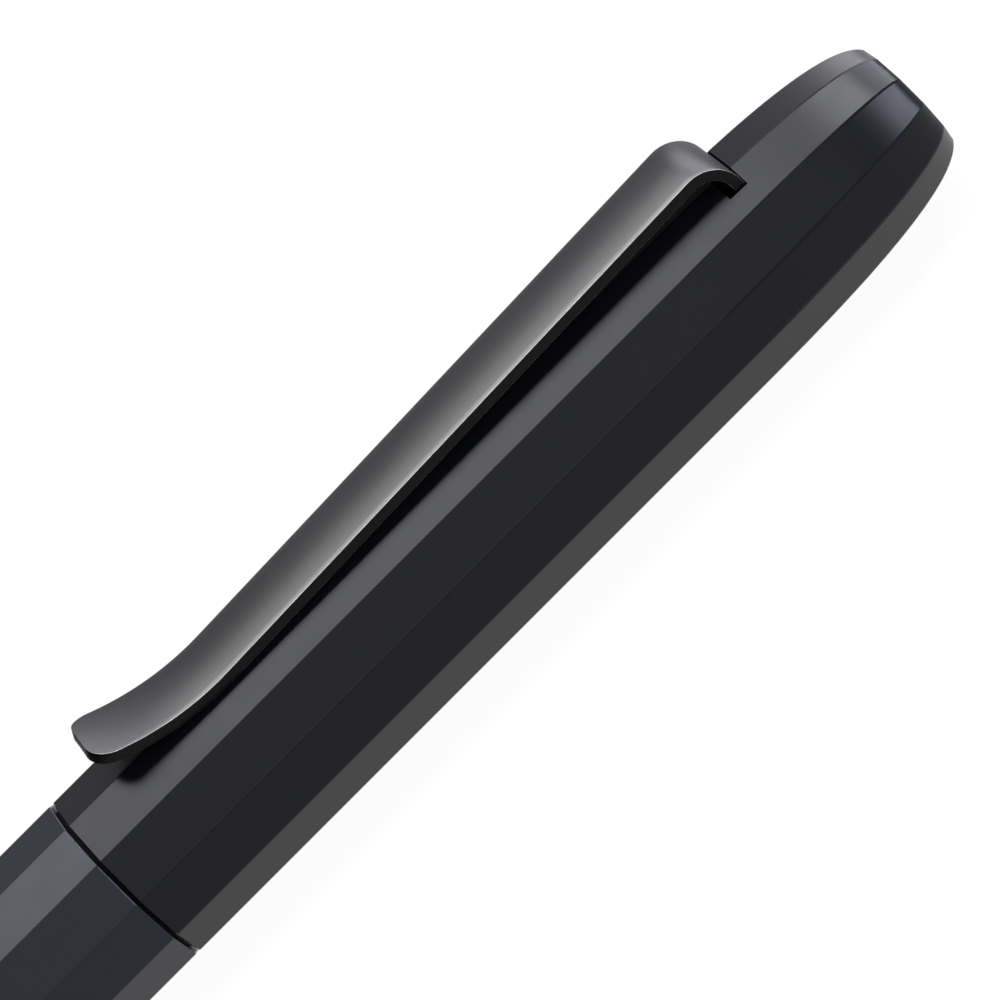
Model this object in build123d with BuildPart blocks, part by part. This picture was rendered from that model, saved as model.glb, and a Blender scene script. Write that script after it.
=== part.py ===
"""Capped ballpoint pen: twelve-sided cap and barrel, bent clip, screwed grip section and refill."""

import math
import os

from build123d import *

# Whole pen, in millimetres: it lies along X on one flat, cap towards +X, clip up
across_flats = 11.0
facet_count = 12
cap_length = 58.6
seam_gap = 0.21
barrel_length = 79.2
ridge_radius = 0.3
overrun = 1.0

# Rounded head, the same on the cap and on the end of the barrel
head_length = 15.6
head_lead = 8.0
head_nose_run = 1.1
head_nose_rise = 1.67
head_end_flats = 6.74

# Fits
slip_clearance = 0.03
screw_clearance = 0.05
seat_clearance = 0.2

# Cap
cap_bore_radius = 4.58
lip_break = 0.06
anchor_bore_radius = 3.9
anchor_bore_lead = 3.67
anchor_bore_tail = 5.53
liner_start = 0.8
liner_wall = 0.4
liner_end_wall = 0.7
bead_offset = 1.4
bead_length = 1.0
bead_ramp = 0.3

# Clip
clip_width = 5.1
clip_thickness = 0.62
clip_arch_radius = 7.6
clip_high_rise = 7.5
clip_low_rise = 6.34
clip_high_at = 45.3
clip_low_at = 11.7
clip_bend_radius = 2.58
clip_foot_at = 48.87
clip_foot_low = 2.5
clip_tail_radius = 15.8
clip_tail_angle = 30.4
clip_corner_radius = 1.4
slot_clearance = 0.1
slot_side_clearance = 0.17
foot_pocket_clearance = 0.25

# Clip anchor and its screw
anchor_length = 8.6
anchor_bottom = 0.2
anchor_screw_radius = 1.2
anchor_head_radius = 2.1
anchor_head_length = 1.6
anchor_head_sink = 0.2
anchor_screw_length = 10.6
anchor_tap_room = 0.3
hex_key_radius = 0.75
hex_key_depth = 0.9
hex_sides = 6

# Barrel
mouth_radius = 4.42
mouth_depth = 10.2
mouth_break = 0.12
barrel_bore_radius = 3.5
barrel_bore_depth = 72.3
washer_thickness = 0.13
washer_radius = 5.05
washer_hole_radius = 4.2

# Threaded bush in the barrel
bush_sink = 0.8
bush_length = 9.0
bush_thread_radius = 3.7

# Grip section, its length set by the room in the cap
screw_travel = 5.0
point_room = 0.85
section_radius = 4.0
section_bore_radius = 3.12
tail_length = 7.0
catch_at = 3.6
catch_length = 1.0
catch_depth = 0.6
catch_edge_share = 0.25
grip_start = 6.0
grip_start_radius = 3.95
grip_end_radius = 3.72
section_end_radius = 3.0
front_taper_length = 5.5
seat_length = 1.6
throat_length = 7.1
section_throat_radius = 1.85
stub_length = 3.8
stub_radius = 2.3
groove_count = 5
groove_pitch = 1.6
groove_width = 0.5
groove_depth = 0.05
groove_lead = 6.0

# Nose cone
nose_base_radius = 2.95
nose_length = 8.0
nose_shoulder_length = 7.5
nose_shoulder_radius = 1.75
nose_tip_radius = 1.6
nose_bore_radius = 1.3
nose_reveal = 2.65

# Refill
refill_radius = 2.95
refill_wall = 0.3
refill_rear = 58.0
refill_shoulder_length = 2.0
refill_seat_gap = 0.3
refill_neck_radius = 1.65
refill_neck_sink = 0.5
ink_rear = 30.0
plug_depth = 6.0
plug_flange = 1.3
plug_vent_radius = 0.6
point_tail = 3.0
point_radius = 1.15
point_cone_length = 1.85
point_end_radius = 0.5
ink_channel_radius = 0.3
ball_radius = 0.4
ball_grip = 0.1
ball_clearance = 0.02

# Refill spring
spring_radius = 2.3
spring_wire_radius = 0.2
spring_turns = 9
spring_end_gap = 0.25

# Derived places: every place along the pen is counted from the lip of the cap
axis_height = across_flats / 2
overall_length = cap_length + seam_gap + barrel_length
lip = overall_length / 2 - cap_length
cap_end = lip + cap_length
barrel_front = lip - seam_gap
barrel_end = barrel_front - barrel_length
half_head_end = head_end_flats / 2
cap_bore_depth = clip_foot_at - anchor_bore_lead
anchor_bore_depth = clip_foot_at + anchor_bore_tail
liner_end_depth = cap_bore_depth - seat_clearance
ball_at = liner_end_depth - liner_end_wall - screw_travel - point_room - ball_radius
point_end = ball_at + ball_grip
point_shoulder = point_end - point_cone_length
section_end = point_end - nose_reveal - nose_length
grip_end = section_end - front_taper_length
section_seat_end = section_end - throat_length
section_seat_at = section_seat_end - seat_length
refill_shoulder_at = section_seat_at - refill_seat_gap
refill_neck_at = refill_shoulder_at + refill_shoulder_length
refill_neck_end = section_end - refill_neck_sink
point_rear = refill_neck_end - point_tail
groove_start = grip_start + groove_lead
pen_axis = Axis((0, 0, axis_height), (1, 0, 0))
side_plane = Plane(origin=(0, 0, axis_height), x_dir=(1, 0, 0), z_dir=(0, -1, 0))


def facet_plane(number):
    """Plane through the pen's axis whose second direction points at one of the flats."""
    turn = number * 2 * math.pi / facet_count
    return Plane(
        origin=(0, 0, axis_height),
        x_dir=(1, 0, 0),
        z_dir=(0, -math.cos(turn), math.sin(turn)),
    )


def facet_outline(open_end, round_end):
    """Draw the side outline of a faceted shell, its rounded head at round_end."""
    way = math.copysign(1, round_end - open_end)
    head_start = round_end - way * head_length
    for side in (1, -1):
        flat = side * across_flats / 2
        tip = side * half_head_end
        Line((open_end, 0), (open_end, flat))
        Line((open_end, flat), (head_start, flat))
        Bezier(
            (head_start, flat),
            (head_start + way * head_lead, flat),
            (round_end - way * head_nose_run, tip + side * head_nose_rise),
            (round_end, tip),
        )
        Line((round_end, tip), (round_end, 0))


def ridges(part):
    """Pick the edges that run along the pen."""
    return [edge for edge in part.edges() if edge.bounding_box().size.X > overrun]


# Cap shell
slot_rear = lip + clip_foot_at + slot_clearance
clip_arch_rise = clip_arch_radius - math.sqrt(clip_arch_radius**2 - (clip_width / 2) ** 2)
slot_front = slot_rear - clip_thickness - clip_arch_rise - 2 * slot_clearance
slot_length = slot_rear - slot_front
slot_middle = (slot_rear + slot_front) / 2
slot_width = clip_width + 2 * slot_side_clearance
anchor_end_depth = anchor_bore_depth - anchor_bottom
screw_front_depth = anchor_end_depth - anchor_length + anchor_head_sink
tap_depth = screw_front_depth + anchor_screw_length + anchor_tap_room
tap_radius = anchor_screw_radius + screw_clearance
with BuildPart() as cap_shell:
    for number in range(facet_count // 2):
        with BuildSketch(facet_plane(number)):
            with BuildLine():
                facet_outline(lip, cap_end)
            make_face()
        extrude(
            amount=across_flats,
            both=True,
            mode=Mode.INTERSECT if number else Mode.ADD,
        )
    fillet(ridges(cap_shell), ridge_radius)
    chamfer(cap_shell.faces().sort_by(Axis.X)[0].edges(), lip_break)
    with BuildSketch(side_plane):
        with BuildLine():
            Polyline(
                (lip - overrun, 0),
                (lip - overrun, cap_bore_radius),
                (lip + cap_bore_depth, cap_bore_radius),
                (lip + cap_bore_depth, anchor_bore_radius),
                (lip + anchor_bore_depth, anchor_bore_radius),
                (lip + anchor_bore_depth, tap_radius),
                (lip + tap_depth, tap_radius),
                (lip + tap_depth, 0),
                close=True,
            )
        make_face()
    revolve(axis=pen_axis, mode=Mode.SUBTRACT)
    with BuildSketch(Plane.XY.offset(axis_height + clip_foot_low)):
        with Locations((slot_middle, 0)):
            Rectangle(slot_length, slot_width)
    extrude(amount=across_flats, mode=Mode.SUBTRACT)
cap_shell.part.label = "cap_shell"

# Cap liner, with the bead that snaps over the catch ring
liner_outer = cap_bore_radius - slip_clearance
liner_inner = liner_outer - liner_wall
bead_inner = section_radius + 2 * slip_clearance
liner_front = lip + liner_start
liner_end = lip + liner_end_depth
bead_start = liner_front + bead_offset
bead_end = bead_start + bead_length
with BuildPart() as cap_liner:
    with BuildSketch(side_plane):
        with BuildLine():
            Polyline(
                (liner_front, liner_inner),
                (bead_start, liner_inner),
                (bead_start + bead_ramp, bead_inner),
                (bead_end - bead_ramp, bead_inner),
                (bead_end, liner_inner),
                (liner_end - liner_end_wall, liner_inner),
                (liner_end - liner_end_wall, 0),
                (liner_end, 0),
                (liner_end, liner_outer),
                (liner_front, liner_outer),
                close=True,
            )
        make_face()
    revolve(axis=pen_axis)
cap_liner.part.label = "cap_liner"

# Clip: an arched strip swept along its side view, foot first
clip_slope = math.atan2(clip_high_rise - clip_low_rise, clip_high_at - clip_low_at)
bend_angle = math.degrees(math.pi / 2 + clip_slope)
foot_x = lip + clip_foot_at
bend_top = clip_high_rise + (clip_foot_at - clip_high_at) * math.tan(clip_slope)
bend_run = clip_bend_radius * math.tan(math.radians(bend_angle / 2))
bend_start = bend_top - bend_run
arm_total = (clip_foot_at - clip_low_at) / math.cos(clip_slope) - bend_run
half_clip = clip_width / 2
arch_half_angle = math.asin(half_clip / clip_arch_radius)
arch_inner = clip_arch_radius - clip_thickness
arch_x = foot_x - clip_arch_radius
outer_edge = (foot_x - clip_arch_rise, half_clip)
inner_edge = (
    arch_x + arch_inner * math.cos(arch_half_angle),
    arch_inner * math.sin(arch_half_angle),
)
with BuildPart() as clip:
    with BuildLine(side_plane) as clip_path:
        foot = Line((foot_x, clip_foot_low), (foot_x, bend_start))
        bend = JernArc(foot @ 1, foot % 1, clip_bend_radius, bend_angle)
        arm = PolarLine(bend @ 1, arm_total, direction=bend % 1)
        JernArc(arm @ 1, arm % 1, clip_tail_radius, -clip_tail_angle)
    with BuildSketch(Plane.XY.offset(axis_height + clip_foot_low)):
        with BuildLine():
            ThreePointArc(
                (outer_edge[0], -outer_edge[1]), (foot_x, 0), outer_edge
            )
            Line(outer_edge, inner_edge)
            ThreePointArc(
                inner_edge, (foot_x - clip_thickness, 0), (inner_edge[0], -inner_edge[1])
            )
            Line((inner_edge[0], -inner_edge[1]), (outer_edge[0], -outer_edge[1]))
        make_face()
    sweep(path=clip_path.wires()[0])
    tail_face = clip.faces().sort_by(Axis.X)[0]
    corners = tail_face.edges().sort_by(Axis.Y)
    fillet([corners[0], corners[-1]], clip_corner_radius)
clip.part.label = "clip"

# Clip anchor, with the pocket for the foot of the clip
anchor_end = lip + anchor_end_depth
anchor_radius = anchor_bore_radius - slip_clearance
anchor_hole = anchor_screw_radius + screw_clearance
counterbore_radius = anchor_head_radius + screw_clearance
counterbore_end = anchor_end - anchor_length + anchor_head_sink + anchor_head_length
pocket_length = slot_length + foot_pocket_clearance
with BuildPart() as clip_anchor:
    with BuildSketch(side_plane):
        with BuildLine():
            Polyline(
                (anchor_end - anchor_length, counterbore_radius),
                (counterbore_end, counterbore_radius),
                (counterbore_end, anchor_hole),
                (anchor_end, anchor_hole),
                (anchor_end, anchor_radius),
                (anchor_end - anchor_length, anchor_radius),
                close=True,
            )
        make_face()
    revolve(axis=pen_axis)
    with BuildSketch(Plane.XY.offset(axis_height + clip_foot_low - seat_clearance)):
        with Locations((slot_middle, 0)):
            Rectangle(pocket_length, across_flats)
    extrude(amount=across_flats, mode=Mode.SUBTRACT)
clip_anchor.part.label = "clip_anchor"

# Anchor screw, its head sunk in the anchor and its end in the cap
screw_front = lip + screw_front_depth
screw_neck = screw_front + anchor_head_length
with BuildPart() as anchor_screw:
    with BuildSketch(side_plane):
        with BuildLine():
            Polyline(
                (screw_front, 0),
                (screw_front, anchor_head_radius),
                (screw_neck - screw_clearance, anchor_head_radius),
                (screw_neck - screw_clearance, anchor_screw_radius),
                (screw_front + anchor_screw_length, anchor_screw_radius),
                (screw_front + anchor_screw_length, 0),
                close=True,
            )
        make_face()
    revolve(axis=pen_axis)
    with BuildSketch(Plane(origin=(screw_front, 0, axis_height), z_dir=(1, 0, 0))):
        RegularPolygon(hex_key_radius, hex_sides)
    extrude(amount=hex_key_depth, mode=Mode.SUBTRACT)
anchor_screw.part.label = "anchor_screw"

# Barrel shell
with BuildPart() as barrel_shell:
    for number in range(facet_count // 2):
        with BuildSketch(facet_plane(number)):
            with BuildLine():
                facet_outline(barrel_front, barrel_end)
            make_face()
        extrude(
            amount=across_flats,
            both=True,
            mode=Mode.INTERSECT if number else Mode.ADD,
        )
    fillet(ridges(barrel_shell), ridge_radius)
    fillet(barrel_shell.faces().sort_by(Axis.X)[-1].edges(), mouth_break)
    with BuildSketch(side_plane):
        with BuildLine():
            Polyline(
                (barrel_front + overrun, 0),
                (barrel_front + overrun, mouth_radius),
                (barrel_front - mouth_depth, mouth_radius),
                (barrel_front - mouth_depth, barrel_bore_radius),
                (barrel_front - barrel_bore_depth, barrel_bore_radius),
                (barrel_front - barrel_bore_depth, 0),
                close=True,
            )
        make_face()
    revolve(axis=pen_axis, mode=Mode.SUBTRACT)
barrel_shell.part.label = "barrel_shell"

# Seam washer on the face of the barrel
with BuildPart() as seam_washer:
    with BuildSketch(Plane(origin=(barrel_front, 0, axis_height), z_dir=(1, 0, 0))):
        Circle(washer_radius)
        Circle(washer_hole_radius, mode=Mode.SUBTRACT)
    extrude(amount=washer_thickness)
seam_washer.part.label = "seam_washer"

# Threaded bush in the mouth of the barrel
bush_front = barrel_front - bush_sink
with BuildPart() as thread_bush:
    with BuildSketch(Plane(origin=(bush_front, 0, axis_height), z_dir=(-1, 0, 0))):
        Circle(mouth_radius - slip_clearance)
        Circle(bush_thread_radius, mode=Mode.SUBTRACT)
    extrude(amount=bush_length)
thread_bush.part.label = "thread_bush"

# Grip section with its threaded tail, seen from the lip forward
section_back = bush_front + screw_clearance
tail_back = section_back - tail_length
tail_radius = bush_thread_radius - screw_clearance
stub_hole_radius = stub_radius + slip_clearance
stub_hole_back = section_end - stub_length - seat_clearance
catch_floor = section_radius - catch_depth
groove_floor = grip_end_radius - groove_depth
with BuildPart() as grip_section:
    with BuildSketch(side_plane):
        with BuildLine():
            Polyline(
                (tail_back, section_bore_radius),
                (tail_back, tail_radius),
                (section_back, tail_radius),
                (section_back, section_radius),
                (lip + catch_at, section_radius),
                (lip + catch_at, catch_floor),
                (lip + catch_at + catch_length, catch_floor),
                (lip + catch_at + catch_length, section_radius),
                (lip + grip_start, grip_start_radius),
                (lip + grip_end, grip_end_radius),
                (lip + section_end, section_end_radius),
                (lip + section_end, stub_hole_radius),
                (lip + stub_hole_back, stub_hole_radius),
                (lip + stub_hole_back, section_throat_radius),
                (lip + section_seat_end, section_throat_radius),
                (lip + section_seat_at, section_bore_radius),
                close=True,
            )
        make_face()
    revolve(axis=pen_axis)
    with BuildSketch(side_plane):
        for groove in range(groove_count):
            with Locations((lip + groove_start + groove * groove_pitch, groove_floor)):
                Rectangle(groove_width, section_radius, align=(Align.CENTER, Align.MIN))
    revolve(axis=pen_axis, mode=Mode.SUBTRACT)
grip_section.part.label = "grip_section"

# Catch ring in the groove of the section
catch_middle = lip + catch_at + catch_length / 2
catch_ring_length = catch_length - 2 * slip_clearance
catch_ring_back = catch_middle - catch_ring_length / 2
with BuildPart() as catch_ring:
    with BuildSketch(Plane(origin=(catch_ring_back, 0, axis_height), z_dir=(1, 0, 0))):
        Circle(section_radius + slip_clearance)
        Circle(catch_floor + slip_clearance, mode=Mode.SUBTRACT)
    extrude(amount=catch_ring_length)
    fillet(catch_ring.edges().filter_by(GeomType.CIRCLE), catch_edge_share * catch_ring_length)
catch_ring.part.label = "catch_ring"

# Nose cone, its stub screwed into the section
nose_back = lip + section_end + slip_clearance
stub_back = nose_back - stub_length
with BuildPart() as nose_cone:
    with BuildSketch(side_plane):
        with BuildLine():
            Polyline(
                (stub_back, section_throat_radius),
                (stub_back, stub_radius),
                (nose_back, stub_radius),
                (nose_back, nose_base_radius),
                (nose_back + nose_shoulder_length, nose_shoulder_radius),
                (nose_back + nose_length, nose_tip_radius),
                (nose_back + nose_length, nose_bore_radius),
                (nose_back, nose_bore_radius),
                (nose_back, section_throat_radius),
                close=True,
            )
        make_face()
    revolve(axis=pen_axis)
nose_cone.part.label = "nose_cone"

# Refill tube, drawn down to a neck
tube_inner = refill_radius - refill_wall
neck_inner = point_radius + slip_clearance
with BuildPart() as refill_tube:
    with BuildSketch(side_plane):
        with BuildLine():
            Polyline(
                (lip - refill_rear, tube_inner),
                (lip - refill_rear, refill_radius),
                (lip + refill_shoulder_at, refill_radius),
                (lip + refill_neck_at, refill_neck_radius),
                (lip + refill_neck_end, refill_neck_radius),
                (lip + refill_neck_end, neck_inner),
                (lip + refill_neck_at - refill_wall, neck_inner),
                (lip + refill_shoulder_at - refill_wall, tube_inner),
                close=True,
            )
        make_face()
    revolve(axis=pen_axis)
refill_tube.part.label = "refill_tube"

# Ink inside the refill
ink_radius = tube_inner - screw_clearance
ink_neck = neck_inner - screw_clearance
with BuildPart() as ink_column:
    with BuildSketch(side_plane):
        with BuildLine():
            Polyline(
                (lip - ink_rear, 0),
                (lip - ink_rear, ink_radius),
                (lip + refill_shoulder_at - refill_wall - screw_clearance, ink_radius),
                (lip + refill_neck_at - refill_wall - screw_clearance, ink_neck),
                (lip + point_rear - screw_clearance, ink_neck),
                (lip + point_rear - screw_clearance, 0),
                close=True,
            )
        make_face()
    revolve(axis=pen_axis)
ink_column.part.label = "ink_column"

# Plug in the rear of the refill
with BuildPart() as refill_plug:
    with BuildSketch(side_plane):
        with BuildLine():
            Polyline(
                (lip - refill_rear - plug_flange, plug_vent_radius),
                (lip - refill_rear - plug_flange, refill_radius),
                (lip - refill_rear - slip_clearance, refill_radius),
                (lip - refill_rear - slip_clearance, tube_inner - slip_clearance),
                (lip - refill_rear + plug_depth, tube_inner - slip_clearance),
                (lip - refill_rear + plug_depth, plug_vent_radius),
                close=True,
            )
        make_face()
    revolve(axis=pen_axis)
refill_plug.part.label = "refill_plug"

# Point of the refill, with the ink channel and the socket of the ball
with BuildPart() as point_tip:
    with BuildSketch(side_plane):
        with BuildLine():
            Polyline(
                (lip + point_rear, ink_channel_radius),
                (lip + point_rear, point_radius),
                (lip + point_shoulder, point_radius),
                (lip + point_end, point_end_radius),
                (lip + point_end, ink_channel_radius),
                close=True,
            )
        make_face()
    revolve(axis=pen_axis)
    with Locations((lip + ball_at, 0, axis_height)):
        Sphere(ball_radius + ball_clearance, mode=Mode.SUBTRACT)
point_tip.part.label = "point_tip"

# Writing ball
with BuildPart() as writing_ball:
    with Locations((lip + ball_at, 0, axis_height)):
        Sphere(ball_radius)
writing_ball.part.label = "writing_ball"

# Refill spring between the floor of the barrel and the plug
spring_back = barrel_front - barrel_bore_depth + spring_end_gap + spring_wire_radius
spring_front = lip - refill_rear - plug_flange - spring_end_gap - spring_wire_radius
spring_length = spring_front - spring_back
spring_pitch = spring_length / spring_turns
with BuildPart() as refill_spring:
    with BuildLine():
        coil = Helix(
            spring_pitch,
            spring_length,
            spring_radius,
            center=(spring_back, 0, axis_height),
            direction=(1, 0, 0),
        )
    with BuildSketch(Plane(origin=coil @ 0, z_dir=coil % 0)):
        Circle(spring_wire_radius)
    sweep(path=coil, is_frenet=True)
refill_spring.part.label = "refill_spring"

# Export, one node each
os.makedirs("parts", exist_ok=True)
export_step(cap_shell.part, "parts/cap_shell.step")
export_step(cap_liner.part, "parts/cap_liner.step")
export_step(clip.part, "parts/clip.step")
export_step(clip_anchor.part, "parts/clip_anchor.step")
export_step(anchor_screw.part, "parts/anchor_screw.step")
export_step(barrel_shell.part, "parts/barrel_shell.step")
export_step(seam_washer.part, "parts/seam_washer.step")
export_step(thread_bush.part, "parts/thread_bush.step")
export_step(grip_section.part, "parts/grip_section.step")
export_step(catch_ring.part, "parts/catch_ring.step")
export_step(nose_cone.part, "parts/nose_cone.step")
export_step(refill_tube.part, "parts/refill_tube.step")
export_step(ink_column.part, "parts/ink_column.step")
export_step(refill_plug.part, "parts/refill_plug.step")
export_step(point_tip.part, "parts/point_tip.step")
export_step(writing_ball.part, "parts/writing_ball.step")
export_step(refill_spring.part, "parts/refill_spring.step")
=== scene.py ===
"""Looks of a twelve-sided capped ballpoint pen: lacquered cap and barrel, satin clip, studio."""

import math

import bpy
from mathutils import Matrix, Vector


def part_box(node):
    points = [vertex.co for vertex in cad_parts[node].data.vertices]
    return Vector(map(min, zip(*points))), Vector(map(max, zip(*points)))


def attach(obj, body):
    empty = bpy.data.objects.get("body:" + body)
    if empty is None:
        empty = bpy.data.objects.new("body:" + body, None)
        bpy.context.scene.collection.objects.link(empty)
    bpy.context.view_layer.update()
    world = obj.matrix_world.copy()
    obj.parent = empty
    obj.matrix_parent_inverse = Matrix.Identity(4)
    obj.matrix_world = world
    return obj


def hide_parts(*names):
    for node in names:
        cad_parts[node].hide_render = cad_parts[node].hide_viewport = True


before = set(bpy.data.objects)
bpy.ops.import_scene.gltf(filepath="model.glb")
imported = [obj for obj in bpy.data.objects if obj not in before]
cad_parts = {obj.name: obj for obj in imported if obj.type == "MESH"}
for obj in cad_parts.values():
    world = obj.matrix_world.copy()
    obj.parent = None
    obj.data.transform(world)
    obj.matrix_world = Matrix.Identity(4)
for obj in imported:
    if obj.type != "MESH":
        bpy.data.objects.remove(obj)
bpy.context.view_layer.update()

bl_info = {
    "name": "Faceted Pen",
    "version": (1, 0, 0),
    "blender": (4, 5, 0),
    "location": "View3D > Sidebar > Pen",
    "description": "Dresses the packed parts of a faceted ballpoint pen and sets its studio",
    "category": "Object",
}

CAP_LOW, CAP_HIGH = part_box("cap_shell")
LIP_X = CAP_LOW[0]
AXIS_Z = (CAP_LOW[2] + CAP_HIGH[2]) / 2

# Steps of the clip's mesh along its foot, bend, arm and tail, and across its width
FOOT_STEPS = 5
BEND_STEPS = 20
ARM_STEPS = 40
TAIL_STEPS = 60
TAIL_EASE = 1.6
ACROSS_STEPS = 16
BEVEL_STEPS = 2
BEVEL_ANGLE = math.radians(40)

# Slots of the clip for its cut walls, which carry painted shade, and its broken edges, which carry
# a painted highlight; slot 0 is its face
CLIP_WALL = 1
CLIP_HIGHLIGHT = 2

# Directions of the metals' grain: turned, drawn, brushed along or down the strip, and even
TURNED = (1, 0.2, 0.2)
DRAWN = (0.2, 1, 1)
ALONG = (0.3, 1, 1)
DOWN = (1, 1, 0.15)
EVEN = (1, 1, 1)

# Range in which nearly all of a noise lies
NOISE_LOW = 0.3
NOISE_HIGH = 0.7

# Floor, camera and light, in metres
FLOOR_HALF = 2.0
FLOOR_ROUGHNESS = 0.9
NEAR_CLIP = 0.01
BOX_DISTANCE = 0.6
WHITE = (1.0, 1.0, 1.0)
COOL = (0.93, 0.93, 1.0)
LILAC = (0.87, 0.89, 1.0)

# Soft boxes: name, turn from +X, rise and roll in degrees, size, brightness and colour
SOFT_BOXES = (
    ("key_box", 90, 86, 0, (0.32, 0.25), 10.8, WHITE),
    ("high_end_box", 8, 60, 0, (0.11, 0.18), 27.0, WHITE),
    ("high_back_box", 90, 56, 0, (0.45, 0.16), 2.0, WHITE),
    ("low_back_box", 90, 20, 0, (0.50, 0.22), 0.6, COOL),
    ("front_box", -90, 36, 0, (0.50, 0.60), 1.6, COOL),
    ("front_end_box", -30, 15, -24, (0.40, 0.10), 21.0, LILAC),
    ("back_end_box", 22, 30, 108, (0.40, 0.09), 15.0, LILAC),
    ("corner_box", 53, 25, 0, (0.28, 0.42), 3.5, COOL),
)


class ClipSizes(bpy.types.PropertyGroup):
    """Sizes of the clip, counted along the pen from the lip of the cap and up from its axis."""

    width: bpy.props.FloatProperty(
        name="Width", description="Width of the strip", default=0.0051, unit="LENGTH"
    )
    thickness: bpy.props.FloatProperty(
        name="Thickness", description="Thickness of the strip", default=0.00062, unit="LENGTH"
    )
    arch: bpy.props.FloatProperty(
        name="Arch", description="Rise of the middle of the arm over its edges", default=0.00044,
        unit="LENGTH",
    )
    tail_arch: bpy.props.FloatProperty(
        name="Tail arch", description="Rise of the middle at the tip of the tail", default=0.00018,
        unit="LENGTH",
    )
    arch_fade: bpy.props.FloatProperty(
        name="Arch fade", description="Length over which the arch grows from the bend",
        default=0.004, unit="LENGTH",
    )
    foot_x: bpy.props.FloatProperty(
        name="Foot", description="Place of the outer face of the foot", default=0.04887,
        unit="LENGTH",
    )
    foot_low: bpy.props.FloatProperty(
        name="Foot end", description="Height of the end of the foot", default=0.0025, unit="LENGTH"
    )
    high_x: bpy.props.FloatProperty(
        name="High end", description="Place where the arm's height is taken", default=0.0453,
        unit="LENGTH",
    )
    high_rise: bpy.props.FloatProperty(
        name="High rise", description="Height of the arm's edge at its high end", default=0.00706,
        unit="LENGTH",
    )
    low_x: bpy.props.FloatProperty(
        name="Low point", description="Place where the tail starts to lift", default=0.0117,
        unit="LENGTH",
    )
    low_rise: bpy.props.FloatProperty(
        name="Low rise", description="Height of the arm's edge at its low point", default=0.0059,
        unit="LENGTH",
    )
    bend_radius: bpy.props.FloatProperty(
        name="Bend radius", description="Outer radius of the bend over the slot", default=0.00213,
        unit="LENGTH",
    )
    tail_radius: bpy.props.FloatProperty(
        name="Tail radius", description="Radius of the lift of the tail", default=0.0158,
        unit="LENGTH",
    )
    tail_angle: bpy.props.FloatProperty(
        name="Tail angle", description="Turn of the tail", default=math.radians(30.8),
        subtype="ANGLE",
    )
    corner_radius: bpy.props.FloatProperty(
        name="Corner radius", description="Rounding of the two tail corners", default=0.0014,
        unit="LENGTH",
    )
    edge_bevel: bpy.props.FloatProperty(
        name="Edge bevel", description="Width of the broken edges", default=0.00007, unit="LENGTH"
    )


class Finishes(bpy.types.PropertyGroup):
    """Colours of the finishes."""

    cap_lacquer: bpy.props.FloatVectorProperty(
        name="Cap lacquer", description="Graphite of the cap", subtype="COLOR", size=3,
        default=(0.0026, 0.0028, 0.0037),
    )
    barrel_lacquer: bpy.props.FloatVectorProperty(
        name="Barrel lacquer", description="Blue graphite of the barrel", subtype="COLOR", size=3,
        default=(0.0080, 0.0089, 0.0120),
    )
    cap_gloss: bpy.props.FloatVectorProperty(
        name="Cap gloss", description="Strength of the cap's reflections", subtype="COLOR", size=3,
        default=(0.295, 0.30, 0.322),
    )
    barrel_gloss: bpy.props.FloatVectorProperty(
        name="Barrel gloss", description="Strength of the barrel's reflections", subtype="COLOR",
        size=3, default=(0.335, 0.345, 0.385),
    )
    clip_metal: bpy.props.FloatVectorProperty(
        name="Clip metal", description="Gunmetal of the clip", subtype="COLOR", size=3,
        default=(0.101, 0.101, 0.103),
    )
    # Painted shade: a far darker copy of the clip metal for the cut walls and end faces of the
    # strip
    clip_wall_shade: bpy.props.FloatVectorProperty(
        name="Clip edge", description="Dark cut edge of the clip", subtype="COLOR", size=3,
        default=(0.012, 0.012, 0.0125),
    )
    # Painted highlight: a far lighter copy of the clip metal for its broken edges
    clip_highlight: bpy.props.FloatVectorProperty(
        name="Clip line", description="Bright line of the clip's broken edges", subtype="COLOR",
        size=3, default=(0.42, 0.42, 0.425),
    )
    section_lacquer: bpy.props.FloatVectorProperty(
        name="Section lacquer", description="Black of the grip section", subtype="COLOR", size=3,
        default=(0.012, 0.012, 0.013),
    )
    section_gloss: bpy.props.FloatVectorProperty(
        name="Section gloss", description="Strength of the section's reflections", subtype="COLOR",
        size=3, default=(0.5, 0.5, 0.5),
    )
    nose_metal: bpy.props.FloatVectorProperty(
        name="Nose metal", description="Gunmetal of the nose cone", subtype="COLOR", size=3,
        default=(0.16, 0.16, 0.165),
    )
    brass: bpy.props.FloatVectorProperty(
        name="Brass", description="Turned brass inside the pen", subtype="COLOR", size=3,
        default=(0.62, 0.44, 0.17),
    )
    # Painted shade: the clip anchor is made nearly black so that the gap beside the clip's foot
    # reads dark
    black_steel: bpy.props.FloatVectorProperty(
        name="Black steel", description="Blackened steel of the clip anchor", subtype="COLOR",
        size=3, default=(0.01, 0.01, 0.0105),
    )
    steel: bpy.props.FloatVectorProperty(
        name="Steel", description="Drawn steel of refill, spring and screw", subtype="COLOR",
        size=3, default=(0.55, 0.55, 0.56),
    )
    black_plastic: bpy.props.FloatVectorProperty(
        name="Black plastic", description="Liner, plug and catch ring", subtype="COLOR",
        size=3, default=(0.012, 0.012, 0.012),
    )
    washer: bpy.props.FloatVectorProperty(
        name="Washer", description="Dull black of the seam washer", subtype="COLOR", size=3,
        default=(0.003, 0.003, 0.003),
    )
    ink: bpy.props.FloatVectorProperty(
        name="Ink", description="Paste ink in the refill", subtype="COLOR", size=3,
        default=(0.004, 0.004, 0.012),
    )


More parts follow.
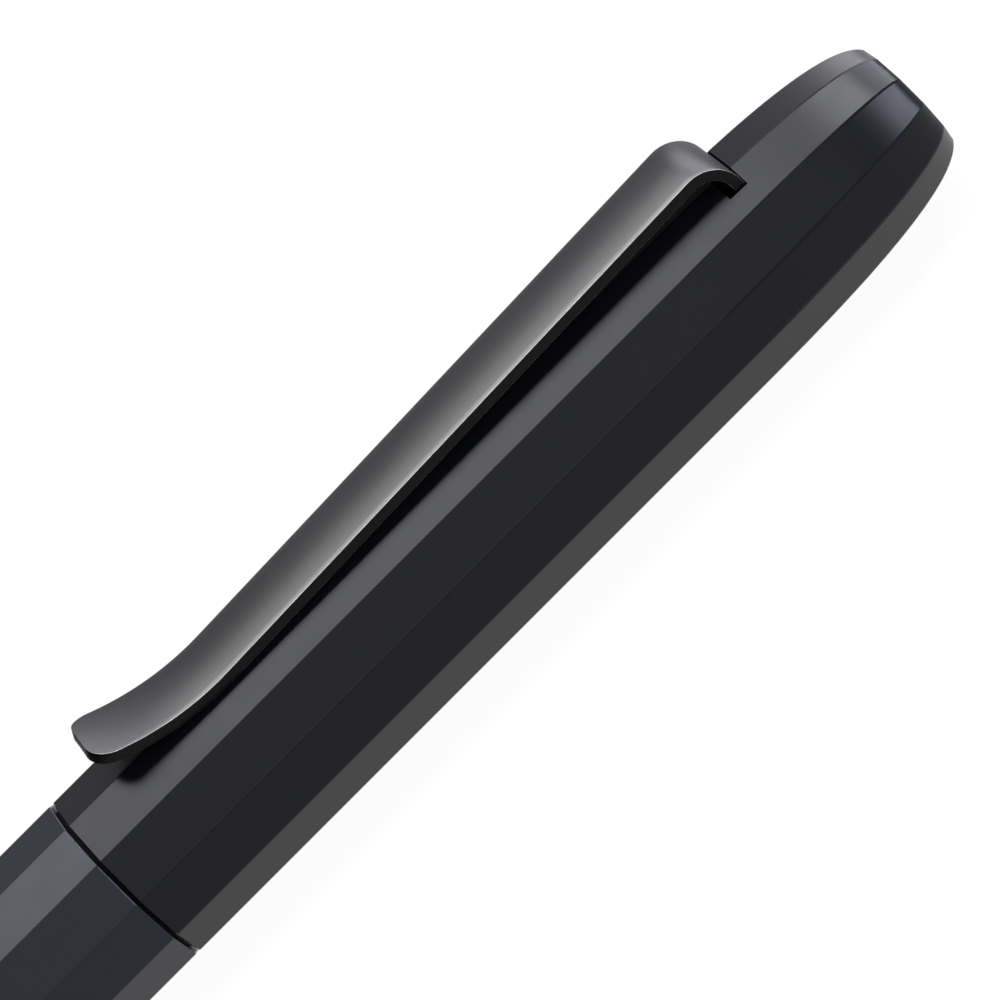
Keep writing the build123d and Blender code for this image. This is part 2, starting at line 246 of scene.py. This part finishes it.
class Studio(bpy.types.PropertyGroup):
    """Camera and light."""

    aim_x: bpy.props.FloatProperty(
        name="Aim", description="Place along the pen at the middle of the picture, from the lip",
        default=0.0281, unit="LENGTH",
    )
    aim_rise: bpy.props.FloatProperty(
        name="Aim rise", description="How far the aim lies above the axis in the picture",
        default=0.00012, unit="LENGTH",
    )
    distance: bpy.props.FloatProperty(
        name="Distance", description="Camera to aim", default=0.2766, unit="LENGTH"
    )
    lens: bpy.props.FloatProperty(
        name="Lens", description="Focal length in millimetres", default=187.2
    )
    elevation: bpy.props.FloatProperty(
        name="Elevation", description="Camera above the horizon", default=math.radians(30),
        subtype="ANGLE",
    )
    roll: bpy.props.FloatProperty(
        name="Roll", description="Turn of the pen in the picture", default=math.radians(45),
        subtype="ANGLE",
    )
    floor_colour: bpy.props.FloatVectorProperty(
        name="Floor", description="Pale floor", subtype="COLOR", size=3, default=(0.85, 0.85, 0.85)
    )
    floor_glow: bpy.props.FloatProperty(
        name="Floor glow", description="Share of plain white in the floor", default=0.95,
        subtype="FACTOR",
    )
    world_strength: bpy.props.FloatProperty(
        name="Surround", description="Strength of the grey surround", default=0.1
    )


# Materials


def new_material(name):
    """A node material, with its tree and its shader."""
    material = bpy.data.materials.new(name)
    material.use_nodes = True
    tree = material.node_tree
    shader = tree.nodes["Principled BSDF"]
    return material, tree, shader


def grain(tree, scale, detail, stretch=EVEN):
    """Noise over the object's own coordinates, scale in grains per metre."""
    coordinates = tree.nodes.new("ShaderNodeTexCoord")
    mapping = tree.nodes.new("ShaderNodeMapping")
    mapping.inputs["Scale"].default_value = stretch
    noise = tree.nodes.new("ShaderNodeTexNoise")
    noise.inputs["Scale"].default_value = scale
    noise.inputs["Detail"].default_value = detail
    tree.links.new(coordinates.outputs["Object"], mapping.inputs["Vector"])
    tree.links.new(mapping.outputs["Vector"], noise.inputs["Vector"])
    return noise.outputs["Fac"]


def spread(tree, factor, middle, reach):
    """Map a noise to a range of numbers about a middle."""
    ramp = tree.nodes.new("ShaderNodeMapRange")
    ramp.inputs["From Min"].default_value = NOISE_LOW
    ramp.inputs["From Max"].default_value = NOISE_HIGH
    ramp.inputs["To Min"].default_value = middle - reach
    ramp.inputs["To Max"].default_value = middle + reach
    tree.links.new(factor, ramp.inputs["Value"])
    return ramp.outputs["Result"]


def mottle(tree, factor, colour, depth):
    """A colour that varies a little with a noise."""
    mix = tree.nodes.new("ShaderNodeMix")
    mix.data_type = "RGBA"
    mix.inputs["A"].default_value = (*[c * (1 - depth) for c in colour], 1)
    mix.inputs["B"].default_value = (*[c * (1 + depth) for c in colour], 1)
    tree.links.new(factor, mix.inputs["Factor"])
    return mix.outputs["Result"]


def bump(tree, shader, factor, strength, distance):
    """Fine relief from a noise."""
    node = tree.nodes.new("ShaderNodeBump")
    node.inputs["Strength"].default_value = strength
    node.inputs["Distance"].default_value = distance
    tree.links.new(factor, node.inputs["Height"])
    tree.links.new(node.outputs["Normal"], shader.inputs["Normal"])


def satin_lacquer(name, colour, roughness, gloss):
    """Satin lacquer: a fine dry grain, small changes of gloss and a slow change of tone."""
    material, tree, shader = new_material(name)
    shader.inputs["Specular Tint"].default_value = (*gloss, 1)
    fine = grain(tree, scale=24000, detail=2)
    slow = grain(tree, scale=160, detail=2)
    tree.links.new(mottle(tree, slow, colour, depth=0.08), shader.inputs["Base Color"])
    rough = spread(tree, grain(tree, scale=900, detail=3), roughness, reach=0.012)
    tree.links.new(rough, shader.inputs["Roughness"])
    bump(tree, shader, fine, strength=0.05, distance=0.000001)
    return material


def satin_metal(name, colour, roughness, stretch, edge=1.0):
    """Satin metal with a fine brushed grain along one direction."""
    material, tree, shader = new_material(name)
    shader.inputs["Metallic"].default_value = 1.0
    shader.inputs["Specular Tint"].default_value = (edge, edge, edge, 1)
    brushed = grain(tree, scale=16000, detail=3, stretch=stretch)
    tree.links.new(mottle(tree, brushed, colour, depth=0.04), shader.inputs["Base Color"])
    slow = grain(tree, scale=1200, detail=3, stretch=stretch)
    rough = spread(tree, slow, roughness, reach=0.015)
    tree.links.new(rough, shader.inputs["Roughness"])
    bump(tree, shader, brushed, strength=0.04, distance=0.000001)
    return material


def matte_plastic(name, colour, roughness, gloss=1.0):
    """Moulded plastic or rubber with a fine matte texture."""
    material, tree, shader = new_material(name)
    shader.inputs["Specular Tint"].default_value = (gloss, gloss, gloss, 1)
    fine = grain(tree, scale=7000, detail=3)
    slow = grain(tree, scale=400, detail=2)
    tree.links.new(mottle(tree, slow, colour, depth=0.12), shader.inputs["Base Color"])
    rough = spread(tree, fine, roughness, reach=0.06)
    tree.links.new(rough, shader.inputs["Roughness"])
    bump(tree, shader, fine, strength=0.2, distance=0.00001)
    return material


def dress(node, material):
    """Give the solid of a node its finish."""
    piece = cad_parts[node]
    piece.data.materials.clear()
    piece.data.materials.append(material)


# Clip mesh


def smooth_step(value):
    """Ease from 0 to 1."""
    value = min(max(value, 0.0), 1.0)
    return value * value * (3 - 2 * value)


def clip_stations(sizes):
    """Stations along the clip's outer edge line, foot first: place, normal, arch, half width."""
    slope = math.atan2(sizes.high_rise - sizes.low_rise, sizes.high_x - sizes.low_x)
    top = sizes.high_rise + (sizes.foot_x - sizes.high_x) * math.tan(slope)
    turn = math.pi / 2 + slope
    run = sizes.bend_radius * math.tan(turn / 2)
    bend_low = top - run
    path = []
    for i in range(FOOT_STEPS):
        height = sizes.foot_low + (bend_low - sizes.foot_low) * i / FOOT_STEPS
        path.append((sizes.foot_x, height, 0.0))
    centre = (sizes.foot_x - sizes.bend_radius, bend_low)
    for i in range(BEND_STEPS + 1):
        angle = turn * i / BEND_STEPS
        path.append((
            centre[0] + sizes.bend_radius * math.cos(angle),
            centre[1] + sizes.bend_radius * math.sin(angle),
            angle,
        ))
    start_x, start_z, angle = path[-1]
    length = (start_x - sizes.low_x) / math.cos(slope)
    for i in range(1, ARM_STEPS + 1):
        along = length * i / ARM_STEPS
        path.append((start_x - along * math.cos(slope), start_z - along * math.sin(slope), angle))
    arm_end = len(path) - 1
    low_x, low_z, _ = path[-1]
    normal = (math.cos(angle), math.sin(angle))
    centre = (low_x + sizes.tail_radius * normal[0], low_z + sizes.tail_radius * normal[1])
    for i in range(1, TAIL_STEPS + 1):
        share = 1 - (1 - i / TAIL_STEPS) ** TAIL_EASE
        back = angle - sizes.tail_angle * share
        path.append((
            centre[0] - sizes.tail_radius * math.cos(back),
            centre[1] - sizes.tail_radius * math.sin(back),
            back,
        ))
    travelled = 0.0
    lengths = [0.0]
    for a, b in zip(path, path[1:]):
        travelled += math.hypot(b[0] - a[0], b[1] - a[1])
        lengths.append(travelled)
    flat_length = lengths[FOOT_STEPS]
    tail_start = lengths[arm_end]
    stations = []
    for (x, z, angle), along in zip(path, lengths):
        left = travelled - along
        arch = sizes.arch * smooth_step((along - flat_length) / sizes.arch_fade)
        fade = smooth_step((along - tail_start) / (travelled - tail_start))
        arch += (sizes.tail_arch - sizes.arch) * fade
        half = sizes.width / 2
        if left < sizes.corner_radius:
            missing = sizes.corner_radius - left
            half -= sizes.corner_radius - math.sqrt(sizes.corner_radius**2 - missing**2)
        stations.append(((x, z), (math.cos(angle), math.sin(angle)), arch, half))
    return stations


def clip_mesh(sizes):
    """Arched strip of even thickness along the stations."""
    across = ACROSS_STEPS
    vertices = []
    faces = []
    rings = clip_stations(sizes)
    for (x, z), normal, arch, half in rings:
        for side in range(2):
            for i in range(across + 1):
                y = half * (2 * i / across - 1) * (1 if side == 0 else -1)
                rise = arch * (1 - (2 * y / sizes.width) ** 2) - side * sizes.thickness
                vertices.append((LIP_X + x + normal[0] * rise, y, AXIS_Z + z + normal[1] * rise))
    ring_size = 2 * (across + 1)
    for r in range(len(rings) - 1):
        for i in range(ring_size):
            j = (i + 1) % ring_size
            faces.append((
                r * ring_size + i,
                r * ring_size + j,
                (r + 1) * ring_size + j,
                (r + 1) * ring_size + i,
            ))
    last = (len(rings) - 1) * ring_size
    for i in range(across):
        back = ring_size - 1 - i
        faces.append((i, back, back - 1, i + 1))
        faces.append((last + i, last + i + 1, last + back - 1, last + back))
    mesh = bpy.data.meshes.new("clip_strip")
    mesh.from_pydata(vertices, [], faces)
    mesh.validate()
    walls = (across, ring_size - 1)
    # The cut walls and the two end faces take the slot with the painted shade
    for number, polygon in enumerate(mesh.polygons):
        if number >= last or number % ring_size in walls:
            polygon.material_index = CLIP_WALL
    return mesh


# Operators


class PEN_OT_cap(bpy.types.Operator):
    """Finish the cap shell, its liner, the clip anchor and the anchor's screw"""

    bl_idname = "pen.cap"
    bl_label = "Cap"

    def execute(self, context):
        colours = context.scene.pen_finishes
        lacquer = satin_lacquer(
            "cap_lacquer", colours.cap_lacquer, roughness=0.29, gloss=colours.cap_gloss
        )
        dress("cap_shell", lacquer)
        dress("cap_liner", matte_plastic("liner_plastic", colours.black_plastic, roughness=0.5))
        # The anchor is made nearly black, painted shade in the gap beside the clip's foot
        anchor = satin_metal(
            "anchor_painted_shade", colours.black_steel, roughness=0.4, stretch=TURNED, edge=0.5
        )
        dress("clip_anchor", anchor)
        dress("anchor_screw", satin_metal(
            "screw_steel", colours.steel, roughness=0.3, stretch=TURNED
        ))
        return {"FINISHED"}


class PEN_OT_barrel(bpy.types.Operator):
    """Finish the barrel shell and what it holds"""

    bl_idname = "pen.barrel"
    bl_label = "Barrel"

    def execute(self, context):
        colours = context.scene.pen_finishes
        lacquer = satin_lacquer(
            "barrel_lacquer", colours.barrel_lacquer, roughness=0.29, gloss=colours.barrel_gloss
        )
        dress("barrel_shell", lacquer)
        dress("seam_washer", matte_plastic(
            "washer_rubber", colours.washer, roughness=0.7, gloss=0.1
        ))
        dress("thread_bush", satin_metal(
            "bush_brass", colours.brass, roughness=0.3, stretch=TURNED
        ))
        dress("refill_spring", satin_metal(
            "spring_steel", colours.steel, roughness=0.28, stretch=EVEN
        ))
        return {"FINISHED"}


class PEN_OT_clip(bpy.types.Operator):
    """Make the arched clip, flat where it goes through the slot"""

    bl_idname = "pen.clip"
    bl_label = "Clip"

    def execute(self, context):
        sizes = context.scene.pen_clip
        colours = context.scene.pen_finishes
        piece = bpy.data.objects.new("clip_strip", clip_mesh(sizes))
        context.scene.collection.objects.link(piece)
        face = satin_metal(
            "clip_gunmetal", colours.clip_metal, roughness=0.42, stretch=ALONG, edge=0.45
        )
        # Cut walls and end faces: the clip metal made far darker, painted shade
        wall = satin_metal(
            "clip_wall_painted_shade", colours.clip_wall_shade, roughness=0.4, stretch=DOWN, edge=0.5
        )
        # Broken edges: the clip metal made far lighter, a painted highlight
        line = satin_metal("clip_painted_highlight", colours.clip_highlight, roughness=0.3, stretch=ALONG)
        for material in (face, wall, line):
            piece.data.materials.append(material)
        edges = piece.modifiers.new("edges", "BEVEL")
        edges.width = sizes.edge_bevel
        edges.segments = BEVEL_STEPS
        edges.limit_method = "ANGLE"
        edges.angle_limit = BEVEL_ANGLE
        # The bevels take the slot with the painted highlight
        edges.material = CLIP_HIGHLIGHT
        piece.data.shade_smooth()
        normals = piece.modifiers.new("normals", "WEIGHTED_NORMAL")
        normals.keep_sharp = True
        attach(piece, "clip")
        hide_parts("clip")
        return {"FINISHED"}


class PEN_OT_section(bpy.types.Operator):
    """Finish the grip section, its catch ring and the nose cone"""

    bl_idname = "pen.section"
    bl_label = "Grip section"

    def execute(self, context):
        colours = context.scene.pen_finishes
        lacquer = satin_lacquer(
            "section_lacquer", colours.section_lacquer, roughness=0.42, gloss=colours.section_gloss
        )
        dress("grip_section", lacquer)
        dress("catch_ring", matte_plastic("catch_rubber", colours.black_plastic, roughness=0.6))
        nose = satin_metal(
            "nose_gunmetal", colours.nose_metal, roughness=0.42, stretch=TURNED, edge=0.45
        )
        dress("nose_cone", nose)
        return {"FINISHED"}


class PEN_OT_refill(bpy.types.Operator):
    """Finish the refill, its ink, plug, point and ball"""

    bl_idname = "pen.refill"
    bl_label = "Refill"

    def execute(self, context):
        colours = context.scene.pen_finishes
        dress("refill_tube", satin_metal(
            "refill_steel", colours.steel, roughness=0.25, stretch=DRAWN
        ))
        dress("ink_column", matte_plastic("paste_ink", colours.ink, roughness=0.3))
        dress("refill_plug", matte_plastic("plug_plastic", colours.black_plastic, roughness=0.45))
        dress("point_tip", satin_metal(
            "point_brass", colours.brass, roughness=0.22, stretch=TURNED
        ))
        dress("writing_ball", satin_metal(
            "ball_steel", colours.steel, roughness=0.12, stretch=EVEN
        ))
        return {"FINISHED"}


def soft_box(name, middle, turn, rise, roll, size, brightness, colour):
    """A soft box that faces the pen: turn is counted from +X, rise from the horizon."""
    lamp = bpy.data.lights.new(name, "AREA")
    lamp.shape = "RECTANGLE"
    lamp.size, lamp.size_y = size
    lamp.energy = brightness * math.pi * size[0] * size[1]
    lamp.color = colour
    light = bpy.data.objects.new(name, lamp)
    turn = Matrix.Rotation(math.radians(turn + 90), 4, "Z")
    rise = Matrix.Rotation(math.radians(90 - rise), 4, "X")
    roll = Matrix.Rotation(math.radians(roll), 4, "Z")
    out = Matrix.Translation((0, 0, BOX_DISTANCE))
    light.matrix_world = Matrix.Translation(middle) @ turn @ rise @ out @ roll
    bpy.context.scene.collection.objects.link(light)


class PEN_OT_stage(bpy.types.Operator):
    """Set the floor, the light and the camera"""

    bl_idname = "pen.stage"
    bl_label = "Studio"

    def execute(self, context):
        studio = context.scene.pen_studio
        self.floor(context, studio)
        self.light(context, studio)
        self.camera(context, studio)
        context.scene.view_settings.view_transform = "Standard"
        return {"FINISHED"}

    def floor(self, context, studio):
        """Pale floor: lit where light bounces, mostly plain white where it is seen."""
        half = FLOOR_HALF
        corners = [(-half, -half, 0), (half, -half, 0), (half, half, 0), (-half, half, 0)]
        mesh = bpy.data.meshes.new("floor")
        mesh.from_pydata(corners, [], [(0, 1, 2, 3)])
        plane = bpy.data.objects.new("floor", mesh)
        context.scene.collection.objects.link(plane)
        material, tree, shader = new_material("floor_paper")
        shader.inputs["Base Color"].default_value = (*studio.floor_colour, 1)
        shader.inputs["Roughness"].default_value = FLOOR_ROUGHNESS
        glow = tree.nodes.new("ShaderNodeEmission")
        rays = tree.nodes.new("ShaderNodeLightPath")
        seen = tree.nodes.new("ShaderNodeMath")
        seen.operation = "MAXIMUM"
        shown = tree.nodes.new("ShaderNodeMath")
        shown.operation = "MAXIMUM"
        share = tree.nodes.new("ShaderNodeMath")
        share.operation = "MULTIPLY"
        share.inputs[1].default_value = studio.floor_glow
        mix = tree.nodes.new("ShaderNodeMixShader")
        tree.links.new(rays.outputs["Is Camera Ray"], seen.inputs[0])
        tree.links.new(rays.outputs["Is Glossy Ray"], seen.inputs[1])
        tree.links.new(seen.outputs["Value"], shown.inputs[0])
        tree.links.new(rays.outputs["Is Transmission Ray"], shown.inputs[1])
        tree.links.new(shown.outputs["Value"], share.inputs[0])
        tree.links.new(share.outputs["Value"], mix.inputs["Fac"])
        tree.links.new(shader.outputs["BSDF"], mix.inputs[1])
        tree.links.new(glow.outputs["Emission"], mix.inputs[2])
        tree.links.new(mix.outputs["Shader"], tree.nodes["Material Output"].inputs["Surface"])
        mesh.materials.append(material)

    def light(self, context, studio):
        """Soft boxes over the pen, beside it and past the head of its cap, and a grey surround."""
        middle = (LIP_X + studio.aim_x, 0, AXIS_Z)
        for name, turn, rise, roll, size, brightness, colour in SOFT_BOXES:
            soft_box(name, middle, turn, rise, roll, size, brightness, colour)
        world = bpy.data.worlds.new("surround")
        world.use_nodes = True
        background = world.node_tree.nodes["Background"]
        background.inputs["Color"].default_value = (*WHITE, 1)
        background.inputs["Strength"].default_value = studio.world_strength
        context.scene.world = world

    def camera(self, context, studio):
        """Long lens square to the pen, rolled so that the pen climbs to the right."""
        back = Vector((0, -math.cos(studio.elevation), math.sin(studio.elevation)))
        along = Vector((1, 0, 0))
        rise = Vector((0, math.sin(studio.elevation), math.cos(studio.elevation)))
        right = along * math.cos(studio.roll) - rise * math.sin(studio.roll)
        up = along * math.sin(studio.roll) + rise * math.cos(studio.roll)
        aim = Vector((LIP_X + studio.aim_x, 0, AXIS_Z)) + rise * studio.aim_rise
        lens = bpy.data.cameras.new("camera")
        lens.lens = studio.lens
        lens.clip_start = NEAR_CLIP
        camera = bpy.data.objects.new("camera", lens)
        turn = Matrix((right, up, back)).transposed().to_4x4()
        camera.matrix_world = Matrix.Translation(aim + back * studio.distance) @ turn
        context.scene.collection.objects.link(camera)
        context.scene.camera = camera


class PEN_PT_panel(bpy.types.Panel):
    """Lists the pieces of the pen"""

    bl_idname = "PEN_PT_panel"
    bl_label = "Pen"
    bl_space_type = "VIEW_3D"
    bl_region_type = "UI"
    bl_category = "Pen"

    def draw(self, context):
        for operator in PIECES:
            self.layout.operator(operator.bl_idname)


PIECES = (PEN_OT_cap, PEN_OT_barrel, PEN_OT_clip, PEN_OT_section, PEN_OT_refill, PEN_OT_stage)
GROUPS = {"pen_clip": ClipSizes, "pen_finishes": Finishes, "pen_studio": Studio}


def register():
    """Register the groups, operators and panel."""
    for group in GROUPS.values():
        bpy.utils.register_class(group)
    for operator in PIECES:
        bpy.utils.register_class(operator)
    bpy.utils.register_class(PEN_PT_panel)
    for name, group in GROUPS.items():
        setattr(bpy.types.Scene, name, bpy.props.PointerProperty(type=group))


def unregister():
    """Take everything out again."""
    for name in GROUPS:
        delattr(bpy.types.Scene, name)
    bpy.utils.unregister_class(PEN_PT_panel)
    for operator in reversed(PIECES):
        bpy.utils.unregister_class(operator)
    for group in reversed(GROUPS.values()):
        bpy.utils.unregister_class(group)


def main():
    """Dress the pen."""
    register()
    bpy.ops.pen.cap()
    bpy.ops.pen.barrel()
    bpy.ops.pen.clip()
    bpy.ops.pen.section()
    bpy.ops.pen.refill()
    bpy.ops.pen.stage()


if __name__ == "__main__":
    main()
